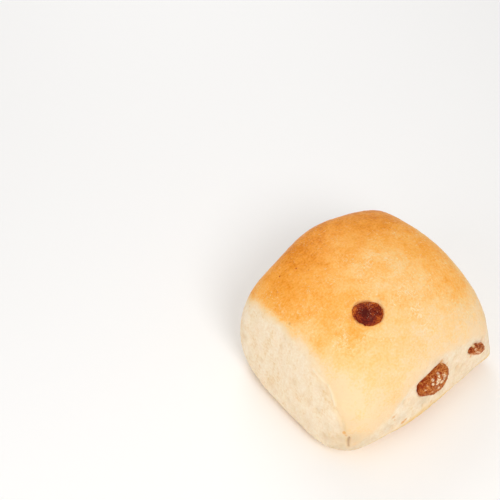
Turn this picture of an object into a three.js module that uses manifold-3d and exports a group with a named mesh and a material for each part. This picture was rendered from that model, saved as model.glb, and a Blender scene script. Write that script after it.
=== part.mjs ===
// One raisin bun out of a batch that was baked side by side.
// A domed bun with a square plan: its sides are flat and torn where its neighbours pulled away,
// and raisins sit in pockets in the crust and in a torn side.
// Millimetres, +Z up, origin at the centre of the part's bounding box on the base.
// -X is the tall torn side, -Y the low torn side that holds two raisins.

import * as THREE from "three";
import { mergeVertices } from "three/addons/utils/BufferGeometryUtils.js";
import Module from "manifold-3d";

// ---- driving dimensions --------------------------------------------------------------------

// The dough without its neighbours: half a superellipsoid that stands on its waist.
const dough = {
  height: 45.4,
  waist: 9.7, // height of the widest belt
  reach: { left: 47.0, right: 56.6, near: 39.3, far: 42.9 },
  underside: 12.9, // depth of the dough below its waist
  squareness: 2.3, // 2 gives an oval plan, more gives squarer corners
  fullness: 1.93, // 2 gives a round dome, less a leaner one
};

// Where neighbouring buns pressed flat: distance from the axis at waist height, and the lean
// of the side, in degrees, with its foot pushed out.
const tornSides = {
  left: { distance: 33.0, lean: 6.3 },
  near: { distance: 33.5, lean: 0.8 },
  right: { distance: 32.5, lean: 4.4 },
  far: { distance: 24.7, lean: -2.0 },
};

// Uneven places: turn is the angle round the axis from +X, rise the angle above the waist,
// and spread the width, all in degrees. push moves the surface outwards.
const unevenPlaces = [
  { name: "near right corner, drawn out as it tore", turn: -43, rise: -8.5, push: 3.7, spread: 6.5 },
  { name: "edge that runs down to that corner", turn: -38, rise: 3.6, push: 1.5, spread: 8 },
  { name: "crust that swells over the large side raisin", turn: -90.4, rise: 27, push: 0.4, spread: 7 },
  { name: "near foot, flared where it stood on the tray", turn: -98, rise: -12, push: 0.7, spread: 19 },
  { name: "near left foot", turn: -145, rise: -13, push: 1.3, spread: 14 },
  { name: "far left foot, tucked in", turn: 144, rise: -9.3, push: -1.6, spread: 13.9 },
  { name: "dip where the crust runs down to the near foot", turn: -122, rise: -2, push: -0.6, spread: 15.7 },
  { name: "high far shoulder", turn: 86, rise: 46, push: 2.9, spread: 22.5 },
  { name: "right shoulder", turn: -4, rise: 45, push: 0.3, spread: 15 },
];

const shoulderTightness = 10; // how tightly the dome turns into a torn side
const heelTightness = 20; // how tightly the sides turn into the base
const heelCut = 0.2; // what the baking tray flattened
const crustDetail = 17; // subdivisions of each edge of the starting icosahedron

const pocketGap = 0.3; // clear space between a raisin and its pocket

// Each raisin: at is the point of the bun's surface over its middle, out the direction that it
// faces, along its long axis, sunk how far its middle lies below the surface.
const raisins = [
  {
    name: "raisin_top",
    at: [-10.0, -12.5, 42.6],
    out: [-0.15, -0.3, 0.94],
    along: [0.84, -0.54, 0],
    halfSize: { length: 5.5, width: 4.4, thickness: 3.0 },
    bluntness: 2.0,
    taper: 0,
    sunk: 1.9,
    bend: 0.2,
    folds: 7,
    foldDepth: 0.05,
    colour: 0x4a1f14,
  },
  {
    name: "raisin_side_large",
    at: [0.1, -32.4, 21.0],
    out: [-0.14, -0.97, 0.0],
    along: [0.97, 0, 0.26],
    halfSize: { length: 6.0, width: 4.6, thickness: 3.7 },
    bluntness: 2.3,
    taper: 0.12,
    sunk: 0.6,
    bend: 1.4,
    folds: 6,
    foldDepth: 0.03,
    colour: 0x8a4a24,
  },
  {
    name: "raisin_side_small",
    at: [20.7, -31.8, 19.0],
    out: [0.07, -0.97, 0.02],
    along: [0.84, 0, -0.54],
    halfSize: { length: 4.4, width: 1.8, thickness: 2.5 },
    bluntness: 2.4,
    taper: 0,
    sunk: 0.5,
    bend: -0.15,
    folds: 5,
    foldDepth: 0.06,
    colour: 0x7a3f20,
  },
];

// ---- solids --------------------------------------------------------------------------------

const wasm = await Module();
wasm.setup();

const radians = THREE.MathUtils.degToRad;

function solidFrom(geometry) {
  const bare = geometry.clone();
  bare.deleteAttribute("normal");
  bare.deleteAttribute("uv");
  const merged = mergeVertices(bare, 1e-4);
  return new wasm.Manifold(
    new wasm.Mesh({
      numProp: 3,
      vertProperties: new Float32Array(merged.attributes.position.array),
      triVerts: new Uint32Array(merged.index.array),
    }),
  );
}

function geometryFrom(solid) {
  const { vertProperties, triVerts } = solid.getMesh();
  const geometry = new THREE.BufferGeometry();
  geometry.setAttribute("position", new THREE.BufferAttribute(new Float32Array(vertProperties), 3));
  geometry.setIndex(new THREE.BufferAttribute(new Uint32Array(triVerts), 1));
  geometry.computeVertexNormals();
  return geometry;
}

// Moves each vertex of a unit sphere to where place(direction) says.
function reshape(sphere, place) {
  const position = sphere.attributes.position;
  const direction = new THREE.Vector3();
  for (let i = 0; i < position.count; i += 1) {
    direction.fromBufferAttribute(position, i).normalize();
    const point = place(direction);
    position.setXYZ(i, point.x, point.y, point.z);
  }
  return sphere;
}

// The nearest of several surfaces along one ray, with the edges between them rounded.
function nearest(distances, tightness) {
  const sum = distances.reduce((total, distance) => total + distance ** -tightness, 0);
  return sum ** (-1 / tightness);
}

// ---- the bun -------------------------------------------------------------------------------

// Distance from the middle of the waist to the surface of the free dough.
function doughRadius(d) {
  const { height, waist, reach, underside, squareness, fullness } = dough;
  const x = Math.abs(d.x) / (d.x < 0 ? reach.left : reach.right);
  const y = Math.abs(d.y) / (d.y < 0 ? reach.near : reach.far);
  const z = Math.abs(d.z) / (d.z < 0 ? underside : height - waist);
  const plan = (x ** squareness + y ** squareness) ** (fullness / squareness);
  return (plan + z ** fullness) ** (-1 / fullness);
}

// Distance to the flat side that faces outwards, whose foot is pushed out by its lean.
function sideRadius(d, outwards, { distance, lean }) {
  const slope = radians(lean);
  const towards = (d.x * outwards.x + d.y * outwards.y) * Math.cos(slope) + d.z * Math.sin(slope);
  return towards > 1e-6 ? distance / towards : Infinity;
}

const sideDirections = {
  left: new THREE.Vector2(-1, 0),
  near: new THREE.Vector2(0, -1),
  right: new THREE.Vector2(1, 0),
  far: new THREE.Vector2(0, 1),
};

function unevenness(d) {
  let push = 0;
  for (const place of unevenPlaces) {
    const turn = radians(place.turn);
    const rise = radians(place.rise);
    const centre = new THREE.Vector3(
      Math.cos(turn) * Math.cos(rise),
      Math.sin(turn) * Math.cos(rise),
      Math.sin(rise),
    );
    const off = THREE.MathUtils.radToDeg(centre.angleTo(d)) / place.spread;
    push += place.push * Math.exp(-off * off);
  }
  return push;
}

function bunPoint(d) {
  const walls = Object.entries(tornSides).map(([side, size]) =>
    sideRadius(d, sideDirections[side], size),
  );
  const loaf = nearest([doughRadius(d), ...walls], shoulderTightness) + unevenness(d);
  const tray = d.z < 0 ? dough.waist / -d.z : Infinity;
  const radius = nearest([loaf, tray], heelTightness);
  return d.clone().multiplyScalar(radius).add(new THREE.Vector3(0, 0, dough.waist));
}

function bunSolid() {
  const loaf = solidFrom(reshape(new THREE.IcosahedronGeometry(1, crustDetail), bunPoint));
  const below = 4 * dough.height;
  const tray = new THREE.BoxGeometry(below, below, below);
  tray.translate(0, 0, heelCut - below / 2);
  return loaf.subtract(solidFrom(tray));
}

// ---- the raisins ---------------------------------------------------------------------------

// A shrivelled berry: folds run along it and fade at its ends, and it bends like a bean.
// A bluntness of 2 gives it oval ends, more gives it fuller ones, and taper thins its far end.
function raisinGeometry(raisin, growth) {
  const { length, width, thickness } = raisin.halfSize;
  const blunt = raisin.bluntness;
  const ball = new THREE.SphereGeometry(1, 30, 12);
  ball.rotateZ(Math.PI / 2);
  const place = (d) => {
    const round = Math.atan2(d.z, d.y);
    const waist = Math.hypot(d.y, d.z);
    const fold = 1 + raisin.foldDepth * waist * Math.cos(raisin.folds * round + 2 * d.x);
    const full = (Math.abs(d.x) ** blunt + Math.abs(d.y) ** blunt + Math.abs(d.z) ** blunt) ** (-1 / blunt);
    const stout = fold * (1 - raisin.taper * full * d.x);
    return new THREE.Vector3(
      (length + growth) * full * d.x,
      (width * stout + growth) * full * d.y + raisin.bend * d.x * d.x,
      (thickness * stout + growth) * full * d.z,
    );
  };
  const geometry = reshape(ball, place);
  const out = new THREE.Vector3(...raisin.out).normalize();
  const across = new THREE.Vector3().crossVectors(out, new THREE.Vector3(...raisin.along)).normalize();
  const along = new THREE.Vector3().crossVectors(across, out);
  const middle = new THREE.Vector3(...raisin.at).addScaledVector(out, -raisin.sunk);
  geometry.applyMatrix4(new THREE.Matrix4().makeBasis(along, across, out).setPosition(middle));
  return geometry;
}

// ---- the part ------------------------------------------------------------------------------

function piece(name, geometry, colour, roughness) {
  const material = new THREE.MeshStandardMaterial({ color: colour, roughness, metalness: 0 });
  const mesh = new THREE.Mesh(geometry, material);
  mesh.name = name;
  return mesh;
}

const part = new THREE.Group();

let bun = bunSolid();
for (const raisin of raisins) {
  bun = bun.subtract(solidFrom(raisinGeometry(raisin, pocketGap)));
  const berry = geometryFrom(solidFrom(raisinGeometry(raisin, 0)));
  part.add(piece(raisin.name, berry, raisin.colour, 0.35));
}
part.add(piece("bun", geometryFrom(bun), 0xf2bd74, 0.55));

// Stand the part on Z = 0 with the middle of its bounding box on the Z axis.
const box = new THREE.Box3().setFromObject(part);
const middle = box.getCenter(new THREE.Vector3());
for (const mesh of part.children) mesh.geometry.translate(-middle.x, -middle.y, -box.min.z);

export default part;
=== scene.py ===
import math
import bpy
import numpy as np
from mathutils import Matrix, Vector, noise


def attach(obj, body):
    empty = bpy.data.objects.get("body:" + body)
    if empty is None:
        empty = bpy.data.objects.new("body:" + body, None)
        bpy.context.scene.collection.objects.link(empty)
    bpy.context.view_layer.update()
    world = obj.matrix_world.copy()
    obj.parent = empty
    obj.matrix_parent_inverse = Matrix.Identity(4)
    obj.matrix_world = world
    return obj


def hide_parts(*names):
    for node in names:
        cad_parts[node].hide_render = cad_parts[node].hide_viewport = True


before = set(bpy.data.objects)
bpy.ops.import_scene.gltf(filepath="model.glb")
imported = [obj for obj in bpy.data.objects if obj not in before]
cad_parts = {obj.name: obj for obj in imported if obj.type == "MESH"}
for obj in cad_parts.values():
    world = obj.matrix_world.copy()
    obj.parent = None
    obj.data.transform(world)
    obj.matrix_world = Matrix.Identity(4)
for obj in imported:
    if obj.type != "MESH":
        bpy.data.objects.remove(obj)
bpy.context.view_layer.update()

mm = 0.001


def onlySelect(obj):
    if bpy.context.object and bpy.context.object.mode != "OBJECT":
        bpy.ops.object.mode_set(mode="OBJECT")
    bpy.ops.object.select_all(action="DESELECT")
    obj.select_set(True)
    bpy.context.view_layer.objects.active = obj


def applyModifier(obj, kind, **settings):
    onlySelect(obj)
    modifier = obj.modifiers.new(kind.lower(), kind)
    for key, value in settings.items():
        setattr(modifier, key, value)
    bpy.ops.object.modifier_apply(modifier=modifier.name)


def copyOfNode(nodeName, pieceName):
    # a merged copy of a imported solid, the start of a finer piece
    piece = bpy.data.objects.new(pieceName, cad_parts[nodeName].data.copy())
    bpy.context.scene.collection.objects.link(piece)
    piece.data.materials.clear()
    onlySelect(piece)
    bpy.ops.object.mode_set(mode="EDIT")
    bpy.ops.mesh.select_all(action="SELECT")
    bpy.ops.mesh.remove_doubles(threshold=0.005 * mm)
    bpy.ops.object.mode_set(mode="OBJECT")
    return piece


def fromScreen(red, green, blue):
    # a colour as a paint program shows it, made linear
    def linear(c):
        c /= 255
        return c / 12.92 if c <= 0.04045 else ((c + 0.055) / 1.055) ** 2.4
    return (linear(red), linear(green), linear(blue), 1)


def smooth(low, high, values):
    # 0 below low, 1 above high and an even turn between them
    t = np.clip((values - low) / (high - low), 0, 1)
    return t * t * (3 - 2 * t)


def readVertices(obj, name):
    # one row of three numbers for each vertex: its "co" or its "normal"
    values = np.empty(len(obj.data.vertices) * 3, np.float32)
    obj.data.vertices.foreach_get(name, values)
    return values.reshape(-1, 3).astype(float)


def moveVertices(obj, places):
    # places in mm
    obj.data.vertices.foreach_set("co", (places * mm).astype(np.float32).ravel())
    obj.data.update()


def noiseField(places, size, seed):
    # soft noise from about -1 to 1 whose bumps are about size mm wide
    shift = Vector((seed * 7.3, seed * 3.1, seed * 5.7))
    return np.array([noise.noise(Vector(place) / size + shift) for place in places])


def paintAttribute(obj, name, values):
    attribute = obj.data.attributes.new(name, "FLOAT", "POINT")
    attribute.data.foreach_set("value", np.clip(values, 0, 1).astype(np.float32))


def awayFrom(places, spot):
    # distance in mm from each place to one spot
    return np.linalg.norm(places - spot, axis=1)


def bell(distance, width):
    # 1 at no distance, fading to 0 over about two widths
    return np.exp(-(distance / width) ** 2)


def nearSpots(places, spots):
    # the strongest spot at each place, fading to 0 away from them all; a spot is a place, width and strength
    return np.max([strength * bell(awayFrom(places, (x, y, z)), width) for x, y, z, width, strength in spots],
                  axis=0)


def distanceToLine(places, points):
    # distance in mm from each place to a bent line
    nearest = np.full(len(places), 1e9)
    for start, end in zip(points[:-1], points[1:]):
        start, end = np.array(start), np.array(end)
        step = end - start
        t = np.clip((places - start) @ step / (step @ step), 0, 1)
        nearest = np.minimum(nearest, np.linalg.norm(places - start - t[:, None] * step, axis=1))
    return nearest


print("helpers ready")

cameraSetup = {
    "azimuth": -39.07,
    "elevation": 48.5,
    "distance": 333.3 * mm,
    "aim": Vector((-10.29, 45.86, 22.7)) * mm,
    "lens": 72,
    "sensor": 36,
}

lightSetup = {
    "key": {"at": (-120, -330, 400), "size": 240, "power": 1.12, "colour": (1, 0.985, 0.96)},
    "fill": {"at": (-380, -20, 240), "size": 300, "power": 0.30, "colour": (1, 0.99, 0.97)},
    "back": {"at": (160, 340, 320), "size": 300, "power": 0.45, "colour": (1, 1, 1)},
    "aim": (0, 0, 20),
    "sky": 0.53,
}

floorSetup = {
    "size": 6,  # metres
    "colour": fromScreen(254, 253, 252),
    "roughness": 0.7,
}


def placeCamera(setup):
    turn = math.radians(setup["azimuth"])
    rise = math.radians(setup["elevation"])
    back = Vector((math.sin(turn) * math.cos(rise), -math.cos(turn) * math.cos(rise), math.sin(rise)))
    data = bpy.data.cameras.new("camera")
    data.lens = setup["lens"]
    data.sensor_width = setup["sensor"]
    data.clip_start = 0.01
    camera = bpy.data.objects.new("camera", data)
    camera.location = setup["aim"] + back * setup["distance"]
    camera.rotation_euler = (math.pi / 2 - rise, 0, turn)
    bpy.context.scene.collection.objects.link(camera)
    bpy.context.scene.camera = camera


def placeLight(name, setup):
    data = bpy.data.lights.new(name, "AREA")
    data.shape = "DISK"
    data.size = setup["size"] * mm
    data.energy = setup["power"]
    data.color = setup["colour"]
    light = bpy.data.objects.new(name, data)
    light.location = Vector(setup["at"]) * mm
    toBun = Vector(lightSetup["aim"]) * mm - light.location
    light.rotation_euler = toBun.to_track_quat("-Z", "Y").to_euler()
    bpy.context.scene.collection.objects.link(light)


def layFloor(setup):
    bpy.ops.object.select_all(action="DESELECT")
    bpy.ops.mesh.primitive_plane_add(size=setup["size"])
    floor = bpy.context.object
    floor.name = "floor"
    material = bpy.data.materials.new("floorPaint")
    material.use_nodes = True
    shader = material.node_tree.nodes["Principled BSDF"]
    shader.inputs["Base Color"].default_value = setup["colour"]
    shader.inputs["Roughness"].default_value = setup["roughness"]
    floor.data.materials.append(material)


def setWorld(brightness):
    world = bpy.data.worlds.new("studio")
    world.use_nodes = True
    background = world.node_tree.nodes["Background"]
    background.inputs["Color"].default_value = (1, 1, 1, 1)
    background.inputs["Strength"].default_value = brightness
    bpy.context.scene.world = world
    bpy.context.scene.view_settings.view_transform = "Standard"


placeCamera(cameraSetup)
for lightName in ("key", "fill", "back"):
    placeLight(lightName, lightSetup[lightName])
layFloor(floorSetup)
setWorld(lightSetup["sky"])
print("camera, lights and floor ready")

# everything about the bun that a user might change; places and lengths in mm
bunPlan = {
    "voxel": 0.46,  # size of its faces
    "smoothing": 10,
    # where the torn crumb meets the crust along each side: an arch with its middle, height and reach to both
    # ends, how far the browning fades above it at both ends, and how soft and how rough it tore
    "arches": {
        "left": {"facing": (-1, 0, 0), "across": 1, "middle": 5.4, "height": 33.6, "reach": (30, 34),
                 "tail": 0, "squareness": 2.4, "fade": (9, 3.4), "soft": 2.1, "rough": 0.28},
        "near": {"facing": (0, -1, 0), "across": 0, "middle": 2.6, "height": 27.4, "reach": (23, 35),
                 "tail": 18.4, "squareness": 2, "fade": (8, 8), "soft": 1.5, "rough": 0.8},
        "right": {"facing": (1, 0, 0), "across": 1, "middle": 2.0, "height": 31, "reach": (33, 36),
                  "tail": 0, "squareness": 2, "fade": (5, 5), "soft": 1.5, "rough": 0.5},
        "far": {"facing": (0, 1, 0), "across": 0, "middle": -1.4, "height": 30, "reach": (34, 33),
                "tail": 0, "squareness": 2, "fade": (4, 4), "soft": 1.5, "rough": 0.6},
    },
    # the tail is the height of an arch's long low end, which stays level at first and then falls
    "tailLevel": 17,
    "tailSlope": 0.62,
    "fadeTurn": (-18, 6),  # between these places along a side its fade changes from one end's to the other's
    "tearNoise": ((5, 1.5), (1.7, 0.8)),  # size and reach of the bays in the torn edge
    "tearFacing": (0.25, 0.5),  # how squarely the skin faces a side where its crumb starts and is full
    # browning of the crust, 0 palest to 1 brownest, at places on it
    "bakedSpots": (
        (16.6, 20.0, 42, 0.95), (-9.4, 22.0, 42, 0.99), (-19.4, 22.0, 39, 0.87), (-26.4, 21.0, 35, 0.60),
        (2.6, 13.0, 45, 0.70), (19.6, 4.0, 43, 0.70), (20.6, -13.0, 39, 0.55), (22.6, -24.0, 28, 0.10),
        (-9.4, 5.0, 45, 0.57), (2.6, -8.0, 43, 0.36), (-19.4, -3.0, 41, 0.54), (-23.4, 7.0, 40, 0.66),
        (-20.4, 14.0, 40, 0.75), (-27.4, 1.0, 36, 0.34), (-14.4, -16.0, 38, 0.34),
        (-17.4, -23.0, 32, 0.16), (1.6, -24.0, 33, 0.18), (16.6, -24.0, 31, 0.16),
        (-26.4, -25.0, 21, 0.02), (-28.4, -18.0, 27, 0.0), (2.6, 4.0, 45, 0.45), (1.6, -15.0, 40, 0.30),
        (-20.4, 10.0, 41, 0.74), (-26.4, -5.0, 37, 0.50), (-18.4, -8.0, 40, 0.56), (0.6, 30.0, 36, 0.96),
        (24.6, 24.0, 36, 0.90), (29.6, 6.0, 36, 0.60), (30.6, -12.0, 30, 0.25), (-25.4, 27.0, 30, 0.75),
    ),
    "bakedBlend": (3, 2.2),  # how softly the spots blend, in mm, and how steeply they fade
    # small places browner or paler than the crust round them: place, width, change of browning
    "freckles": (
        (0.0, -8.9, 42.9, 1.2, 0.12), (-3.2, -6.7, 43.6, 1.6, 0.14), (5.1, -2.3, 44.5, 0.6, 0.2),
        (24.5, -10.6, 38.2, 1.6, 0.14), (19.1, -12.3, 39.6, 1.2, 0.1), (19.4, -3.0, 42.2, 2.2, 0.08),
        (-5.8, 4.6, 45.0, 2.6, -0.12), (-5.6, 10.6, 44.9, 2.6, -0.1), (3.2, 8.2, 45.3, 2.4, -0.14),
        (-22.5, -8.9, 38.1, 5, -0.10), (-26.2, -9.9, 35.0, 4, -0.10), (0.3, -18.8, 37.8, 4.5, -0.10),
        (-2.3, -1.9, 44.7, 3.5, -0.06), (13.1, 1.0, 44.0, 4.5, -0.12), (16.5, -3.1, 42.9, 3.5, -0.10),
        (-8.4, 17.9, 43.6, 3.5, -0.15), (14.2, 19.6, 42.5, 5, -0.12), (-7.6, 6.7, 44.8, 3.5, 0.07),
        (3.4, 5.4, 45.3, 4, 0.08), (21.7, -19.5, 34.3, 3.5, 0.08), (19.2, -8.0, 41.1, 3.5, 0.05),
        (-14.9, -6.3, 42.2, 1.0, 0.3), (-13.0, -11.2, 40.9, 0.9, 0.16), (-5.4, -7.7, 43.2, 1.1, -0.2),
        (6.6, 1.0, 45.0, 2.6, -0.08), (-22.9, 7.8, 39.8, 0.7, 0.16), (-26.0, -4.8, 36.8, 1.8, 0.12),
    ),
    # where the skin of the crust is leathery and gets painted glints and the painted light and shade of its
    # creases: place, width
    "leatherGlints": (
        (2.2, -13.0, 41.2, 6.5), (4.2, -18.1, 38.2, 5), (2.1, 4.0, 45.2, 7), (-2.4, 12.0, 45, 6),
        (-17.6, 4.2, 42.3, 6), (-19.4, -10.0, 40, 6), (-25.4, 13.1, 37.4, 6),
    ),
    # brown specks and orange smudges: place, radius, strength
    "specks": (
        (-14.7, 18.2, 41.7, 0.27, 0.95), (-19.3, 20.5, 39.3, 0.26, 0.95), (-13.0, 14.5, 42.9, 0.22, 0.5),
        (-28.6, 23.5, 29.1, 0.26, 0.25),
    ),
    "smudges": (
        (-27.1, 6.7, 36.1, 0.4, 0.9), (-30.0, -22.6, 15.3, 0.55, 0.8), (-29.9, -23.3, 14.4, 0.4, 0.5),
        (-10.8, -28.1, 9.3, 0.8, 0.8), (-9.9, -28.2, 10.0, 0.6, 0.8), (-15.0, -27.7, 15.6, 0.6, 0.6),
        (-14.4, -27.9, 13.6, 0.4, 0.5), (1.0, -28.6, 9.6, 0.6, 0.4), (4.4, -27.2, 25.9, 0.7, 0.7),
        (6.8, -27.6, 23.4, 0.4, 0.4), (-14.9, -6.3, 42.2, 0.9, 0.35), (18.4, -28.1, 17.0, 0.5, 0.7),
        (20.3, -28.2, 16.3, 0.4, 0.4),
    ),
    # places painted with shade, where the bread looks greyer and darker: place, width, strength
    "paintedShadeSpots": (
        (-28.7, -24.8, 12.8, 4.0, 0.5), (-30.1, -22.1, 16.4, 3.0, 0.32), (-25.9, -26.5, 10.2, 4.0, 0.4),
        (-2.2, -28.7, 14.3, 3.5, 0.45), (4.8, -28.8, 12.1, 3.0, 0.3), (11.7, -28.6, 12.0, 3.0, 0.05),
        (-31.2, -19.3, 9.0, 4.0, 0.42), (-30.9, -22.4, 7.0, 4.0, 0.55), (-28.3, -25.2, 8.0, 3.0, 0.55),
        (-32.2, -11.3, 8.0, 5.0, 0.15), (-32.2, -4.3, 7.0, 5.0, 0.12), (-16.6, -27.9, 10.9, 3.0, 0.3),
        (-12.2, -28.3, 12.6, 2.6, 0.35), (-22.4, -27.2, 9.2, 3.0, 0.35), (-31.9, -18.5, 13.3, 3.0, 0.25),
        (-28.6, -23.2, 19.0, 3.0, 0.2), (-31.0, -22.2, 12.0, 3.5, 0.38), (-5.4, -7.7, 43.2, 0.9, 0.3),
        (-5.6, -9.8, 42.5, 0.7, 0.25), (-30.6, -20.4, 5.6, 3.5, 0.5), (-27.4, -25.3, 5.6, 3.5, 0.4),
    ),
    "crumbGrey": 0.06,  # how grey the torn crumb is all over
    # hollows pressed into the torn crumb and painted darker as their shade: place, width, depth
    "hollows": (
        (-33.2, 7.3, 8.9, 1.7, 0.2), (-33.1, -0.9, 10.0, 1.0, 0.2), (-32.1, -9.0, 17.2, 1.2, 0.2),
        (-31.9, -1.7, 19.7, 1.0, 0.15), (-32.0, -12.1, 17.0, 0.9, 0.3), (-30.4, -11.1, 26.4, 1.6, 0.25),
        (-30.6, 6.5, 28.0, 0.8, 0.15), (-29.6, 6.1, 31.5, 0.9, 0.15), (-31.8, 22.6, 16.8, 1.3, 0.25),
        (-32.5, 13.2, 15.3, 1.0, 0.15), (-32.7, -17.0, 9.3, 1.2, 0.3), (-30.9, -22.2, 11.7, 1.8, 0.3),
        (-30.8, -22.9, 9.2, 1.4, 0.3), (-10.7, -27.8, 19.7, 0.9, 0.45), (-15.1, -27.7, 10.5, 0.9, 0.35),
        (10.5, -27.6, 22.5, 0.8, 0.4), (12.3, -28.2, 17.1, 1.1, 0.45), (15.3, -28.3, 15.2, 1.2, 0.4),
        (24.6, -26.7, 19.8, 0.8, 0.3), (26.4, -27.5, 11.0, 0.9, 0.35), (-2.4, -28.4, 11.0, 0.8, 0.35),
        (32.6, -12.0, 14.0, 1.2, 0.25), (32.0, -2.0, 21.0, 1.0, 0.2), (32.8, 8.0, 11.0, 1.5, 0.25),
        (31.4, 15.0, 22.0, 1.1, 0.2), (32.4, 20.0, 12.0, 1.0, 0.25), (32.2, 3.0, 27.0, 0.9, 0.2),
        (-20.0, 31.0, 13.0, 1.2, 0.25), (-9.0, 31.4, 20.0, 1.0, 0.2), (1.0, 31.2, 10.0, 1.4, 0.25),
        (10.0, 31.8, 19.0, 1.1, 0.2), (20.0, 31.0, 12.0, 1.2, 0.25), (4.0, 32.2, 26.0, 0.9, 0.2),
    ),
    "hollowShadeLevel": 0.4,  # the painted shade of a shallow hollow; a deep one gets more
    # the crease down the near end of the left side: bent lines and how far each stands out
    "creases": (
        (((-29.6, -6.8, 30.3), (-29.6, -9.4, 29.6), (-29.5, -12.2, 28.9)), 0.4),
        (((-29.2, -13.4, 28.8), (-29.4, -15.2, 27.3), (-29.7, -16.6, 25.5), (-29.9, -17.7, 24.0)), 0.45),
        (((-29.9, -18.5, 22.5), (-29.9, -20.5, 20.5), (-30.0, -21.8, 17.6), (-30.0, -22.7, 15.4)), -0.25),
    ),
    "creaseWidth": 0.38,
    "scarWidth": 1.6,  # the smooth skin beside the creases
    # a crack low at the near end of the left side: a bent line, how deep it is pressed in and how wide; it is
    # painted dark as the shade inside it
    "crack": ((-29.2, -24.1, 13.6), (-29.5, -24.1, 11.9), (-29.4, -24.5, 9.5)),
    "crackDepth": 0.55,
    "crackWidth": 0.3,
    # the browned foot: its height all round, how much more on the near side and where that side flares out
    # as place, width and height, and the size of its bays
    "foot": {"height": 3.6, "near": 4.4, "flare": (-1, 10, 2.6), "bays": (0.8, 0.4)},
    # the pockets of the raisins, painted darker as the shade in the gap round each raisin: that gap, how
    # square its plan is and where the painted shade sets in, as shares of that plan
    "pocket": {"gap": 0.3, "squareness": 2.3, "turn": (0.93, 1.0)},
    # the lips round the raisins: how far they rise and how widely, and the extra width and reach of a notch
    "lip": {"rise": 0.22, "spread": 0.28, "notchWidth": 0.35, "notchReach": 0.3},
    # lumps of the whole dough, wrinkles of its skin, torn crumb and the grain on it: size and depth
    "lumps": (15, 0.6),
    "wrinkles": (1.3, 0.2),
    "tornLumps": (2.6, 0.34),
    "tornGrain": (0.95, 0.11),
    "crustColours": (
        (0.0, fromScreen(250, 217, 172)),
        (0.15, fromScreen(252, 212, 155)),
        (0.35, fromScreen(255, 203, 130)),
        (0.55, fromScreen(255, 185, 94)),
        (0.75, fromScreen(250, 167, 64)),
        (0.9, fromScreen(239, 149, 36)),
        (1.0, fromScreen(226, 131, 14)),
    ),
    "crumbColours": (
        (0.35, fromScreen(238, 206, 158)),
        (0.48, fromScreen(247, 224, 191)),
        (0.66, fromScreen(252, 235, 209)),
    ),
    # browning of the foot, from its upper edge down to the base
    "heelColours": (
        (0.0, fromScreen(247, 222, 182)),
        (0.35, fromScreen(244, 208, 146)),
        (0.7, fromScreen(232, 180, 108)),
        (0.95, fromScreen(208, 142, 74)),
    ),
    # the colour of the painted shade spots, also used for the grey of the roughly torn crumb
    "shadeAndGreyColour": fromScreen(204, 182, 152),
    "smudgeColour": fromScreen(230, 168, 92),
    "speckColour": fromScreen(188, 64, 16),
    # tints laid over the bread: strength and colour; the pinpoints, glints and ridge are painted highlights,
    # the hollow, crack and pocket painted shade
    "tints": {
        "pinpointHighlights": (0.65, fromScreen(255, 232, 180)),
        "glints": (0.9, fromScreen(255, 240, 204)),
        "pits": (1, fromScreen(241, 216, 182)),
        "scar": (0.5, fromScreen(244, 210, 158)),
        "ridge": (0.9, fromScreen(253, 236, 208)),
        "hollowShade": (0.6, fromScreen(226, 190, 140)),
        "crack": (0.6, fromScreen(150, 96, 66)),
        "pocket": (0.85, fromScreen(204, 136, 80)),
    },
    # patterns on the bread: how many bumps to a metre, detail and distortion
    "patterns": {
        "wideBlotches": (90, 3), "middleBlotches": (280, 4, 0.5), "fineBlotches": (1500, 2),
        "pinpointHighlights": (1700, 2, 0.5), "pinpointClouds": (130, 2), "glintClouds": (260, 2),
        "crumbClouds": (240, 5, 0.4), "crumbGrain": (1300, 3), "pits": (420, 4, 0.2), "heel": (300, 4),
        "fineBumps": (1500, 3, 0.5), "wideBumps": (600, 2),
    },
    "blotchStrengths": {"wide": 0.07, "middle": 0.10, "fine": 0.11, "creases": 0.07, "heel": 0.12},
    # the leathery creases are drawn into the browning as painted light and shade
    "creaseLines": (700, 0.1),  # how many leathery creases to a metre and how thick they are
    "glintLines": (700, 0.05),
    "crumbWeights": (0.5, 0.55),  # of its clouds and its grain
    "crumbStretch": (1.3, 1.3, 0.85),  # the crumb tore upwards, so its patterns are drawn out that way
    "bumpWeights": {"fine": 0.5, "wide": 0.8, "pinpointHighlights": 0.5, "crumb": 0.25},  # crumb scales them all there
    # roughness of crust and crumb; light scattered under the skin as weight, share of each colour and reach;
    # bumps as strength and depth
    "finish": {"roughness": (0.42, 0.85), "specular": 0.15, "scatter": (0.12, (1.0, 0.5, 0.25), 1.2),
               "bump": (0.7, 0.3)},
}
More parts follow.
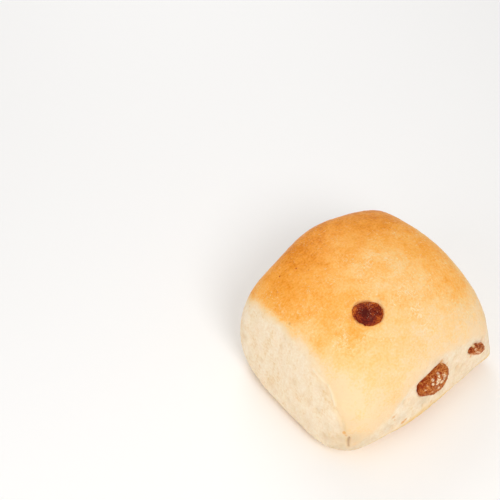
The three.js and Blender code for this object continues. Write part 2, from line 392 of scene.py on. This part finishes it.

# how each raisin lies: half sizes along, across and through it and the ways its length and outside face; the
# wrinkles, dents and pebbles of its skin as size and depth; spots that are darker, lighter, under a pale film
# with painted glints or under a flap of dough as centre, width and strength; notches that the dough fills as
# centre, width and depth; all in mm; grains as how many to a metre and their strength or level
raisinPlans = {
    "raisin_top": {
        "slot": "dark_raisin", "half": (5.5, 4.4, 3.0), "out": (-0.15, -0.3, 0.94),
        "along": (0.84, -0.54, 0),
        "seed": 3, "plump": 0.1, "wrinkle": (1.5, 0.16), "dents": (3.2, 0.3), "pebble": (0.6, 0.1),
        "lipPull": 0.15,
        "notches": ((-5.4, -6.2, 43.6, 1.3, 0.5),),
        "deep": fromScreen(84, 18, 8), "skin": fromScreen(130, 36, 12), "thin": fromScreen(202, 104, 32),
        "rimGlow": 0.16, "grain": (2900, 0.3),
        "darkSpots": (
            (-11.0, -8.2, 43.2, 1.6, 0.6), (-12.6, -9.4, 41.8, 1.8, 0.25), (-8.0, -9.6, 43.0, 2.0, 0.2),
            (-10.6, -10.4, 42.4, 1.6, 0.25),
        ),
        "lightSpots": (
            (-7.2, -7.4, 43.4, 1.2, 0.3), (-12.9, -5.4, 43.0, 1.0, 0.25), (-8.4, -5.8, 43.8, 1.2, 0.2),
            (-8.8, -11.8, 42.0, 1.0, 0.3), (-6.2, -10.6, 42.1, 1.0, 0.3),
        ),
        "flaps": ((-5.2, -6.0, 43.2, 0.8, 0.6),),
        "flapColour": fromScreen(236, 186, 124),
        "filmGlint": fromScreen(226, 170, 132), "filmGlintAmount": 0.6, "filmGlintTone": 0.0, "filmGlintGrain": (3200, 0.6),
        "filmGlintSpots": (
            (-9.2, -8.1, 43.5, 0.9, 1), (-8.1, -7.0, 43.6, 1.2, 1), (-10.4, -9.9, 42.9, 1.4, 1),
            (-8.4, -9.9, 43.1, 1.0, 1), (-8.8, -6.0, 43.8, 1.3, 1), (-11.6, -6.6, 43.3, 1.2, 1),
        ),
    },
    "raisin_side_large": {
        "slot": "amber_raisin", "half": (6.0, 4.6, 3.7), "out": (-0.14, -0.97, 0),
        "along": (0.97, 0, 0.26),
        "seed": 11, "plump": 0.12, "wrinkle": (1.5, 0.24), "dents": (3.4, 0.4), "pebble": (0.7, 0.14),
        "lipPull": 0.08,
        "notches": ((-3.0, -27.7, 24.9, 1.7, 0.6),),
        "deep": fromScreen(140, 46, 10), "skin": fromScreen(170, 88, 32),
        "thin": fromScreen(206, 132, 70),
        "rimGlow": 0.0, "grain": (2000, 0.42),
        "darkSpots": (
            (-5.5, -28.1, 23.2, 1.6, 0.25), (-5.6, -28.4, 20.7, 1.2, 0.15),
            (-4.2, -27.5, 24.6, 1.6, 0.25), (-5.6, -28.4, 19.4, 0.5, 0.5),
            (-2.6, -29.6, 23.6, 1.6, 0.15),
        ),
        "lightSpots": ((0.1, -31.2, 20.0, 2.5, 0.1), (4.2, -28.2, 25.2, 1.8, 0.3)),
        "flaps": ((4.4, -27.5, 25.6, 0.9, 0.7), (4.6, -27.0, 25.2, 0.9, 0.7)),
        "flapColour": fromScreen(236, 178, 112),
        "filmGlint": fromScreen(242, 218, 182), "filmGlintAmount": 0.95, "filmGlintTone": 0.25,
        "filmGlintGrain": (1500, 0.44),
        "filmGlintSpots": (
            (0.6, -30.1, 24.6, 0.6, 0.9), (0.3, -30.4, 24.1, 0.6, 1), (-0.2, -30.7, 23.5, 0.7, 1),
            (2.2, -30.3, 24.7, 0.6, 1), (2.3, -30.6, 24.0, 0.65, 1), (2.4, -30.8, 23.3, 0.6, 1),
            (1.1, -31.1, 22.7, 0.7, 0.85), (-1.5, -29.6, 24.4, 0.5, 1), (-2.1, -30.3, 23.5, 0.45, 0.9),
            (-4.6, -29.9, 22.1, 0.35, 1), (-0.8, -30.9, 23.0, 0.4, 0.9), (0.1, -31.2, 20.6, 0.7, 0.6),
            (0.9, -29.1, 25.2, 0.9, 0.45), (-3.7, -29.5, 23.5, 0.9, 0.35),
            (-1.3, -31.0, 22.2, 1.4, 0.32), (-2.4, -30.9, 20.9, 0.9, 0.45),
        ),
    },
    "raisin_side_small": {
        "slot": "amber_raisin", "half": (4.4, 1.8, 2.5), "out": (0.07, -0.97, 0.02),
        "along": (0.84, 0, -0.54),
        "seed": 23, "plump": 0.05, "wrinkle": (1.3, 0.24), "dents": (2.2, 0.3), "pebble": (0.6, 0.12),
        "lipPull": 0.1,
        "notches": (
            (19.2, -27.5, 21.7, 0.5, 0.9), (21.2, -27.0, 21.2, 1.6, 0.35), (23.2, -27.1, 19.6, 1.0, 1.0),
        ),
        "deep": fromScreen(128, 40, 12), "skin": fromScreen(168, 82, 32),
        "thin": fromScreen(214, 146, 92),
        "rimGlow": 0.1, "grain": (2400, 0.35),
        "darkSpots": (
            (17.3, -28.2, 21.1, 0.7, 0.4), (16.9, -28.2, 20.2, 0.6, 0.4), (20.2, -27.9, 21.2, 0.7, 0.2),
            (22.0, -28.4, 19.8, 0.6, 0.15),
        ),
        "lightSpots": (
            (18.2, -28.9, 19.0, 1.4, 0.4), (23.4, -28.8, 17.6, 1.2, 0.35), (20.5, -29.4, 18.6, 1.4, 0.2),
        ),
        "flaps": (
            (19.2, -27.8, 21.6, 0.4, 1), (19.0, -27.6, 21.8, 0.5, 1), (19.4, -27.2, 21.9, 0.8, 1),
            (22.7, -27.6, 19.8, 0.42, 1), (22.7, -27.2, 20.3, 0.6, 1), (23.0, -26.9, 20.0, 0.8, 1),
            (24.3, -28.0, 16.6, 0.6, 0.8), (21.4, -28.9, 17.0, 0.5, 0.5),
        ),
        "flapColour": fromScreen(240, 208, 164),
        "filmGlint": fromScreen(236, 200, 164), "filmGlintAmount": 0.85, "filmGlintTone": 0.2, "filmGlintGrain": (1500, 0.46),
        "filmGlintSpots": (
            (18.9, -28.9, 20.7, 0.8, 1), (19.6, -29.4, 19.6, 0.8, 0.7), (22.9, -29.2, 18.4, 0.6, 0.9),
            (17.7, -28.8, 19.2, 0.7, 0.7),
        ),
    },
}

# the finish that all raisins share
raisinFinish = {
    "stretch": 0.45,  # how much the wrinkles are drawn out along the berry
    "bend": (2.5, 0.5),  # size and reach of the noise that bends them
    "wrinkleShading": 0.22,  # how much each makes the skin lighter where it stands up and darker in its hollows, as painted light and shade
    "pebbleShading": 0.12,
    "dentShading": 0.1,
    "flapStrength": 0.9,
    "roughness": 0.5,
    "specular": 0.1,
    "scatter": (0.1, (1.0, 0.35, 0.15), 0.8),  # weight, share of each colour and reach
    "bump": (0.6, 0.12),  # strength and depth
    "bumps": (2200, 3),  # how many to a metre, and detail
}


def raisinFrame(nodeName):
    # centre and the three unit directions of a raisin
    plan = raisinPlans[nodeName]
    corners = np.array([tuple(vertex.co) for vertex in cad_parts[nodeName].data.vertices]) / mm
    centre = (corners.min(0) + corners.max(0)) / 2
    out = Vector(plan["out"]).normalized()
    along = Vector(plan["along"])
    along = (along - out * along.dot(out)).normalized()
    across = out.cross(along)
    return centre, np.array(along), np.array(across), np.array(out)


def archHeight(arch, along):
    # height of the torn edge at places along its side
    away = along - arch["middle"]
    half = np.where(away > 0, arch["reach"][1], arch["reach"][0])
    power = arch["squareness"]
    bow = arch["height"] * np.clip(1 - np.abs(away / half) ** power, 0, 1) ** (1 / power)
    fall = bunPlan["tailSlope"] * np.clip(-away - bunPlan["tailLevel"], 0, None)
    return np.maximum(bow, np.where(away < 0, arch["tail"] - fall, 0))


def tornAmount(places, normals, arch, ragged):
    # 1 well inside the torn crumb of one side, 0 on the crust
    above = places[:, 2] - archHeight(arch, places[:, arch["across"]])
    facing = smooth(*bunPlan["tearFacing"], normals @ np.array(arch["facing"]))
    return smooth(-arch["soft"], arch["soft"], ragged - above) * facing


def bakedAmount(places, normals):
    # browning: blended between its spots, changed by the freckles and paler towards each torn edge
    weights, total = np.zeros(len(places)), np.zeros(len(places))
    softness, power = bunPlan["bakedBlend"]
    for x, y, z, amount in bunPlan["bakedSpots"]:
        weight = (((places - (x, y, z)) ** 2).sum(1) + softness ** 2) ** -power
        weights += weight
        total += weight * amount
    baked = total / weights
    for x, y, z, width, change in bunPlan["freckles"]:
        baked += change * bell(awayFrom(places, (x, y, z)), width)
    for arch in bunPlan["arches"].values():
        along = places[:, arch["across"]]
        above = places[:, 2] - archHeight(arch, along)
        lowFade, highFade = arch["fade"]
        fade = lowFade + (highFade - lowFade) * smooth(*bunPlan["fadeTurn"], along)
        leaning = smooth(0.3, 0.8, normals @ np.array(arch["facing"]))
        baked *= 1 - leaning * (1 - smooth(0, 1, (above + 1) / (fade + 1)))
    return baked


def pocketAmount(places):
    # 1 inside the pockets of the raisins, 0 outside their rims and below their floors: where their painted
    # shade goes
    amount = np.zeros(len(places))
    gap, power = bunPlan["pocket"]["gap"], bunPlan["pocket"]["squareness"]
    for nodeName, plan in raisinPlans.items():
        centre, along, across, out = raisinFrame(nodeName)
        length, width, thickness = plan["half"]
        apart = places - centre
        p, q = np.abs(apart @ along) / (length + gap), np.abs(apart @ across) / (width + gap)
        ring = (p ** power + q ** power) ** (1 / power)
        aboveFloor = smooth(-thickness - 2, -thickness - 1, apart @ out)
        amount = np.maximum(amount, (1 - smooth(*bunPlan["pocket"]["turn"], ring)) * aboveFloor)
    return amount


def tuckLips(places):
    # the dough closes in over the rims of the raisins, swells a little round them and fills their notches
    lip = bunPlan["lip"]
    for nodeName, plan in raisinPlans.items():
        centre, along, across, out = raisinFrame(nodeName)
        length, width = plan["half"][:2]
        apart = places - centre
        p, q = apart @ along / length, apart @ across / width
        ring = np.sqrt(p * p + q * q) + 1e-9
        nearSkin = smooth(-4.5, -1, apart @ out)
        pull = plan["lipPull"] * (1 - smooth(0.95, 1.8, ring)) * nearSkin / ring
        swell = lip["rise"] * bell(ring - 1.05, lip["spread"]) * nearSkin
        places = places - np.outer(pull * p * length, along) - np.outer(pull * q * width, across)
        places = places + np.outer(swell, out)
        for x, y, z, width, depth in plan["notches"]:
            inward = centre - (x, y, z)
            inward -= out * (inward @ out)
            near = bell(awayFrom(places, (x, y, z)), width + lip["notchWidth"])
            reach = near * (depth + lip["notchReach"])
            places = places + np.outer(reach, inward / np.linalg.norm(inward))
    return places


def onSkin(piece, spot):
    # the place on the skin of a piece that is nearest to a spot in mm, in metres
    return piece.closest_point_on_mesh(Vector(spot) * mm)[1]


def setGroup(obj, name, weights):
    # a vertex group that says where a relief works
    group = obj.vertex_groups.new(name=name)
    for index in np.flatnonzero(weights > 0.02):
        group.add([int(index)], float(weights[index]), "REPLACE")


def displace(obj, name, group, detail):
    # relief of soft clouds where the vertex group lies
    size, depth = bunPlan[name]
    texture = bpy.data.textures.new(name, "CLOUDS")
    texture.noise_scale = size * mm
    texture.noise_depth = detail
    applyModifier(obj, "DISPLACE", texture=texture, texture_coords="LOCAL", strength=depth * mm,
                  mid_level=0.5, vertex_group=group)


def makeBun():
    bun = copyOfNode("bun", "bunLoaf")
    applyModifier(bun, "REMESH", mode="VOXEL", voxel_size=bunPlan["voxel"] * mm, use_smooth_shade=True)
    applyModifier(bun, "SMOOTH", factor=0.5, iterations=bunPlan["smoothing"])
    print("bun remeshed:", len(bun.data.polygons), "faces")

    places, normals = readVertices(bun, "co") / mm, readVertices(bun, "normal")
    arches, (wideBays, smallBays) = bunPlan["arches"], bunPlan["tearNoise"]
    coarse, fine = noiseField(places, wideBays[0], 1), noiseField(places, smallBays[0], 2)
    ragged = wideBays[1] * coarse + smallBays[1] * fine
    torn = {name: tornAmount(places, normals, arch, ragged) for name, arch in arches.items()}
    crumb = np.max(list(torn.values()), axis=0)
    rough = np.max([torn[name] * arch["rough"] for name, arch in arches.items()], axis=0)
    baked = bakedAmount(places, normals)
    pocket = pocketAmount(places)

    # the browned foot reaches higher where it flares out on the near side
    foot = bunPlan["foot"]
    flareAt, flareWidth, flareHeight = foot["flare"]
    nearSide = smooth(0.3, 0.8, -normals[:, 1] - 0.3 * np.abs(normals[:, 0]))
    flare = foot["near"] + flareHeight * bell(places[:, 0] - flareAt, flareWidth)
    heelTop = foot["height"] + nearSide * flare + foot["bays"][0] * coarse + foot["bays"][1] * fine
    heel = np.clip(1 - places[:, 2] / heelTop, 0, 1)
    offBase = smooth(0.1, 1.5, places[:, 2])  # the base stays flat

    places = tuckLips(places)
    leatherGlints = nearSpots(places, [(*spot, 1) for spot in bunPlan["leatherGlints"]])
    # painted shade at its spots, and the grey of the roughly torn crumb
    shadeAndGrey = np.maximum(nearSpots(places, bunPlan["paintedShadeSpots"]), bunPlan["crumbGrey"] * rough)
    hollowShade = np.zeros(len(places))
    for x, y, z, width, depth in bunPlan["hollows"]:
        near = bell(awayFrom(places, np.array(onSkin(bun, (x, y, z))) / mm), width)
        # each hollow is painted darker as its shade, more so the deeper it is
        hollowShade = np.maximum(hollowShade, near * (bunPlan["hollowShadeLevel"] + depth))
        places = places - normals * (near * depth)[:, None]
    scar, ridge = np.zeros(len(places)), np.zeros(len(places))
    for points, height in bunPlan["creases"]:
        away = distanceToLine(places, points)
        near = bell(away, bunPlan["creaseWidth"])
        places = places + normals * (height * near)[:, None]
        scar = np.maximum(scar, bell(away, bunPlan["scarWidth"]))
        # where a crease stands out its ridge is painted paler, a painted highlight
        ridge = np.maximum(ridge, near if height > 0 else 0)
    crack = bell(distanceToLine(places, bunPlan["crack"]), bunPlan["crackWidth"])
    places = places - normals * (bunPlan["crackDepth"] * crack)[:, None]
    moveVertices(bun, places)

    painted = {"crumb": crumb, "baked": baked, "heel": heel, "crack": crack, "hollowShade": hollowShade, "scar": scar,
               "ridge": ridge, "leatherGlints": leatherGlints, "rough": rough, "shadeAndGrey": shadeAndGrey, "pocket": pocket}
    for name, values in painted.items():
        paintAttribute(bun, name, values)
    setGroup(bun, "offBase", offBase)
    setGroup(bun, "crust", (1 - crumb) * offBase)
    setGroup(bun, "torn", rough * offBase)
    print("bun painted")

    displace(bun, "lumps", "offBase", 2)
    displace(bun, "wrinkles", "crust", 3)
    displace(bun, "tornLumps", "torn", 1)
    displace(bun, "tornGrain", "torn", 1)
    print("bun relief done")
    return bun


def addNode(tree, kind, **inputs):
    node = tree.nodes.new(kind)
    for key, value in inputs.items():
        node.inputs[key].default_value = value
    return node


def noiseNode(tree, source, scale, detail, distortion=0.0):
    # noise around 0.5 with so many bumps to a metre
    node = addNode(tree, "ShaderNodeTexNoise", Scale=scale, Detail=detail, Distortion=distortion)
    tree.links.new(source, node.inputs["Vector"])
    return node.outputs["Fac"]


def mathNode(tree, operation, first, second):
    node = tree.nodes.new("ShaderNodeMath")
    node.operation = operation
    for socket, value in zip(node.inputs, (first, second)):
        if isinstance(value, (int, float)):
            socket.default_value = value
        else:
            tree.links.new(value, socket)
    return node.outputs["Value"]


def spread(tree, source, fromLow, fromHigh, toLow, toHigh):
    # maps one range onto another and clamps it
    node = tree.nodes.new("ShaderNodeMapRange")
    for key, value in (("From Min", fromLow), ("From Max", fromHigh), ("To Min", toLow), ("To Max", toHigh)):
        node.inputs[key].default_value = value
    tree.links.new(source, node.inputs["Value"])
    return node.outputs["Result"]


def mixColours(tree, factor, first, second):
    node = tree.nodes.new("ShaderNodeMix")
    node.data_type = "RGBA"
    for key, value in (("Factor", factor), ("A", first), ("B", second)):
        socket = next(s for s in node.inputs if s.name == key and (key == "Factor" or s.type == "RGBA"))
        if isinstance(value, (int, float, tuple)):
            socket.default_value = value
        else:
            tree.links.new(value, socket)
    return next(s for s in node.outputs if s.type == "RGBA")


def colourRamp(tree, factor, stops):
    node = tree.nodes.new("ShaderNodeValToRGB")
    elements = node.color_ramp.elements
    while len(elements) < len(stops):
        elements.new(0.5)
    for element, (position, colour) in zip(elements, stops):
        element.position = position
        element.color = colour
    tree.links.new(factor, node.inputs["Fac"])
    return node.outputs["Color"]


def attributeValue(tree, name):
    node = tree.nodes.new("ShaderNodeAttribute")
    node.attribute_name = name
    return node.outputs["Fac"]


def spotsMask(tree, place, piece, spots):
    # round spots on the skin of a piece, each with its own strength and a soft edge
    mask = None
    for x, y, z, radius, strength in spots:
        node = tree.nodes.new("ShaderNodeVectorMath")
        node.operation = "DISTANCE"
        tree.links.new(place, node.inputs[0])
        node.inputs[1].default_value = onSkin(piece, (x, y, z))
        inner, outer = radius * 0.6 * mm, radius * 1.4 * mm
        spot = spread(tree, node.outputs["Value"], inner, outer, strength, 0)
        mask = spot if mask is None else mathNode(tree, "MAXIMUM", mask, spot)
    return mask


def wormLines(tree, place, scale, thickness):
    # thin wandering lines, as in wrinkled skin
    level = noiseNode(tree, place, scale, 1, 1.2)
    away = mathNode(tree, "ABSOLUTE", mathNode(tree, "SUBTRACT", level, 0.5), 0)
    return spread(tree, away, 0, thickness, 1, 0)


def blotches(tree, noiseValue, strength):
    # noise as a change of browning, up and down by the strength
    return spread(tree, noiseValue, 0.3, 0.7, -strength, strength)


def bumpySkin(tree, shader, height, finish):
    # the specular level, the light scattered under the skin and the fine bumps
    shader.inputs["Specular IOR Level"].default_value = finish["specular"]
    weight, radius, scale = finish["scatter"]
    shader.inputs["Subsurface Weight"].default_value = weight
    shader.inputs["Subsurface Radius"].default_value = radius
    shader.inputs["Subsurface Scale"].default_value = scale * mm
    strength, depth = finish["bump"]
    bump = addNode(tree, "ShaderNodeBump", Strength=strength, Distance=depth * mm)
    tree.links.new(height, bump.inputs["Height"])
    tree.links.new(bump.outputs["Normal"], shader.inputs["Normal"])


def bunMaterial(bun):
    material = bpy.data.materials.new("bunCrust")
    material.use_nodes = True
    tree = material.node_tree
    shader = tree.nodes["Principled BSDF"]
    place = tree.nodes.new("ShaderNodeTexCoord").outputs["Object"]
    stretch = addNode(tree, "ShaderNodeMapping", Scale=bunPlan["crumbStretch"])
    tree.links.new(place, stretch.inputs["Vector"])
    upright = stretch.outputs["Vector"]
    crumb, baked, heel, leatherGlints, rough = (
        attributeValue(tree, name) for name in ("crumb", "baked", "heel", "leatherGlints", "rough"))
    strengths, tints = bunPlan["blotchStrengths"], bunPlan["tints"]

    def pattern(name, source=place):
        return noiseNode(tree, source, *bunPlan["patterns"][name])

    def times(first, second):
        return mathNode(tree, "MULTIPLY", first, second)

    def plus(first, second):
        return mathNode(tree, "ADD", first, second)

    def tint(colour, name, mask):
        # lays one of the tints over a colour where its mask is
        return mixColours(tree, mask, colour, tints[name][1])

    # crust: browning with blotches of three sizes and the painted light and shade of its leathery creases,
    # then painted pale pinpoint highlights and fine glints
    wide = blotches(tree, pattern("wideBlotches"), strengths["wide"])
    middle = blotches(tree, pattern("middleBlotches"), strengths["middle"])
    fine = blotches(tree, pattern("fineBlotches"), strengths["fine"])
    creases = wormLines(tree, place, *bunPlan["creaseLines"])
    # the creases are paler on their lines and browner between them: painted light and shade of the fine
    # wrinkles
    creaseShading = times(spread(tree, creases, 0, 1, strengths["creases"], -strengths["creases"]), leatherGlints)
    browning = plus(plus(baked, creaseShading), plus(wide, plus(middle, fine)))
    crustColour = colourRamp(tree, browning, bunPlan["crustColours"])
    # painted pinpoint highlights of the leathery skin, fewer where it is brown; they are raised a little in
    # the bumps too
    pinpointHighlights = times(spread(tree, pattern("pinpointHighlights"), 0.58, 0.7, 0, tints["pinpointHighlights"][0]),
                      spread(tree, pattern("pinpointClouds"), 0.42, 0.62, 0.2, 1))
    pinpointHighlights = times(pinpointHighlights, spread(tree, baked, 0.6, 1, 1, 0.5))  # fewer where it is brown
    crustColour = tint(crustColour, "pinpointHighlights", pinpointHighlights)
    clouds = times(spread(tree, pattern("glintClouds"), 0.46, 0.62, 0, tints["glints"][0]),
                   times(leatherGlints, spread(tree, baked, 0.3, 0.6, 1, 0.12)))
    glints = times(wormLines(tree, place, *bunPlan["glintLines"]), clouds)
    crustColour = tint(crustColour, "glints", glints)

    # torn crumb: clouds and grain, with pits where it tore roughly
    cloudWeight, grainWeight = bunPlan["crumbWeights"]
    clouds = times(pattern("crumbClouds", upright), cloudWeight)
    grain = times(pattern("crumbGrain"), grainWeight)
    crumbColour = colourRamp(tree, plus(clouds, grain), bunPlan["crumbColours"])
    pits = times(spread(tree, pattern("pits", upright), 0.5, 0.34, 0, tints["pits"][0]), rough)
    crumbColour = tint(crumbColour, "pits", pits)

    # browned foot
    browned = plus(heel, blotches(tree, pattern("heel"), strengths["heel"]))
    heelColour = colourRamp(tree, browned, bunPlan["heelColours"])

    skin = mixColours(tree, crumb, crustColour, crumbColour)
    # the scar's own colour, the painted highlight on the ridge and the painted shade in the hollows
    for name in ("scar", "ridge", "hollowShade"):
        skin = tint(skin, name, times(attributeValue(tree, name), tints[name][0]))
    skin = mixColours(tree, spread(tree, heel, 0, 0.2, 0, 1), skin, heelColour)
    # painted shade, and the grey of the roughly torn crumb
    skin = mixColours(tree, attributeValue(tree, "shadeAndGrey"), skin, bunPlan["shadeAndGreyColour"])
    for spots, colour in (("smudges", "smudgeColour"), ("specks", "speckColour")):
        skin = mixColours(tree, spotsMask(tree, place, bun, bunPlan[spots]), skin, bunPlan[colour])
    # painted shade inside the crack and in the pockets round the raisins
    for name in ("crack", "pocket"):
        skin = tint(skin, name, times(attributeValue(tree, name), tints[name][0]))
    tree.links.new(skin, shader.inputs["Base Color"])
    tree.links.new(spread(tree, crumb, 0, 1, *bunPlan["finish"]["roughness"]), shader.inputs["Roughness"])

    weights = bunPlan["bumpWeights"]
    height = plus(times(pattern("fineBumps"), weights["fine"]), times(pattern("wideBumps"), weights["wide"]))
    height = plus(height, times(pinpointHighlights, weights["pinpointHighlights"]))
    height = times(height, spread(tree, crumb, 0, 1, 1, weights["crumb"]))  # weaker on the torn crumb
    bumpySkin(tree, shader, height, bunPlan["finish"])
    return material


bun = makeBun()
bun.data.materials.append(bunMaterial(bun))
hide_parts("bun")
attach(bun, "root")
print("bun ready")


def pebbled(places, size):
    # small pebbles at places in mm: 1 on their tops, 0 in the seams between them
    tops = []
    for place in places:
        gaps = noise.voronoi(Vector(place) / size)[0]
        tops.append(min(1, (gaps[1] - gaps[0]) * 2))
    return np.array(tops)


def makeRaisin(nodeName, plan):
    raisin = copyOfNode(nodeName, nodeName.replace("raisin", "berry"))
    onlySelect(raisin)
    bpy.ops.object.shade_smooth()
    applyModifier(raisin, "SUBSURF", levels=3, render_levels=3)
    centre, along, across, out = raisinFrame(nodeName)
    places, normals = readVertices(raisin, "co") / mm, readVertices(raisin, "normal")
    apart = places - centre
    # the wrinkles run along the berry, so their noise is stretched that way, and they bend a little
    stretched = apart - np.outer(raisinFinish["stretch"] * (apart @ along), along)
    bendSize, bendReach = raisinFinish["bend"]
    bent = stretched + bendReach * noiseField(stretched, bendSize, plan["seed"])[:, None]
    wrinkleSize, wrinkleDepth = plan["wrinkle"]
    wrinkles = np.clip(np.abs(noiseField(bent, wrinkleSize, plan["seed"] + 1)) * 2.2, 0, 1)
    dentSize, dentDepth = plan["dents"]
    dents = noiseField(apart, dentSize, plan["seed"] + 2)
    pebbleSize, pebbleDepth = plan["pebble"]
    pebbles = pebbled(apart, pebbleSize)
    height = plan["plump"] + wrinkleDepth * (wrinkles - 0.6) + dentDepth * dents
    height += pebbleDepth * (pebbles - 0.6)
    for x, y, z, width, depth in plan["notches"]:
        height -= depth * bell(awayFrom(places, (x, y, z)), width)
    moveVertices(raisin, places + normals * height[:, None])

    # the tone of the skin runs from deep at 0 to thin at 1
    length, width = plan["half"][:2]
    # lighter towards the rim: painted light shining through the thin edge
    rim = smooth(0.5, 0.95, np.hypot(apart @ along / length, apart @ across / width))
    # the tone is lighter where wrinkles, pebbles and dents stand up and darker in their hollows: painted
    # light and shade
    tone = 0.5 + raisinFinish["wrinkleShading"] * (wrinkles - 0.5) + raisinFinish["pebbleShading"] * (pebbles - 0.5)
    tone = tone + raisinFinish["dentShading"] * dents + plan["rimGlow"] * rim
    tone = tone + nearSpots(places, plan["lightSpots"]) - nearSpots(places, plan["darkSpots"])
    paintAttribute(raisin, "tone", tone)
    paintAttribute(raisin, "filmGlint", nearSpots(places, plan["filmGlintSpots"]))
    paintAttribute(raisin, "flap", nearSpots(places, plan["flaps"]))
    raisin.data.materials.append(raisinMaterial(nodeName, plan))
    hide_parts(nodeName)
    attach(raisin, "root")


def raisinMaterial(nodeName, plan):
    material = bpy.data.materials.new(nodeName)
    material.use_nodes = True
    tree = material.node_tree
    shader = tree.nodes["Principled BSDF"]
    place = tree.nodes.new("ShaderNodeTexCoord").outputs["Object"]
    tone, filmGlint = attributeValue(tree, "tone"), attributeValue(tree, "filmGlint")
    # skin: deep, middle and thin by its tone, with a fine grain
    scale, strength = plan["grain"]
    grain = spread(tree, noiseNode(tree, place, scale, 3, 0.5), 0.35, 0.65, -strength, strength)
    # the spots of film also lighten the tone round them, part of the painted glints
    haze = mathNode(tree, "MULTIPLY", filmGlint, plan["filmGlintTone"])
    tone = mathNode(tree, "ADD", tone, mathNode(tree, "ADD", grain, haze))
    colour = colourRamp(tree, tone, ((0.1, plan["deep"]), (0.5, plan["skin"]), (0.95, plan["thin"])))
    # the pale film and its painted glints lie on it in grains, and the flaps of dough over both
    scale, level = plan["filmGlintGrain"]
    grains = spread(tree, noiseNode(tree, place, scale, 3, 0.6), level, level + 0.06, 0, plan["filmGlintAmount"])
    grains = mathNode(tree, "MULTIPLY", grains, spread(tree, filmGlint, 0.25, 0.6, 0, 1))
    colour = mixColours(tree, grains, colour, plan["filmGlint"])
    flap = spread(tree, attributeValue(tree, "flap"), 0.35, 0.6, 0, raisinFinish["flapStrength"])
    colour = mixColours(tree, flap, colour, plan["flapColour"])
    tree.links.new(colour, shader.inputs["Base Color"])
    shader.inputs["Roughness"].default_value = raisinFinish["roughness"]
    bumpySkin(tree, shader, noiseNode(tree, place, *raisinFinish["bumps"]), raisinFinish)
    return material


for raisinName, raisinPlan in raisinPlans.items():
    makeRaisin(raisinName, raisinPlan)
print("raisins ready")
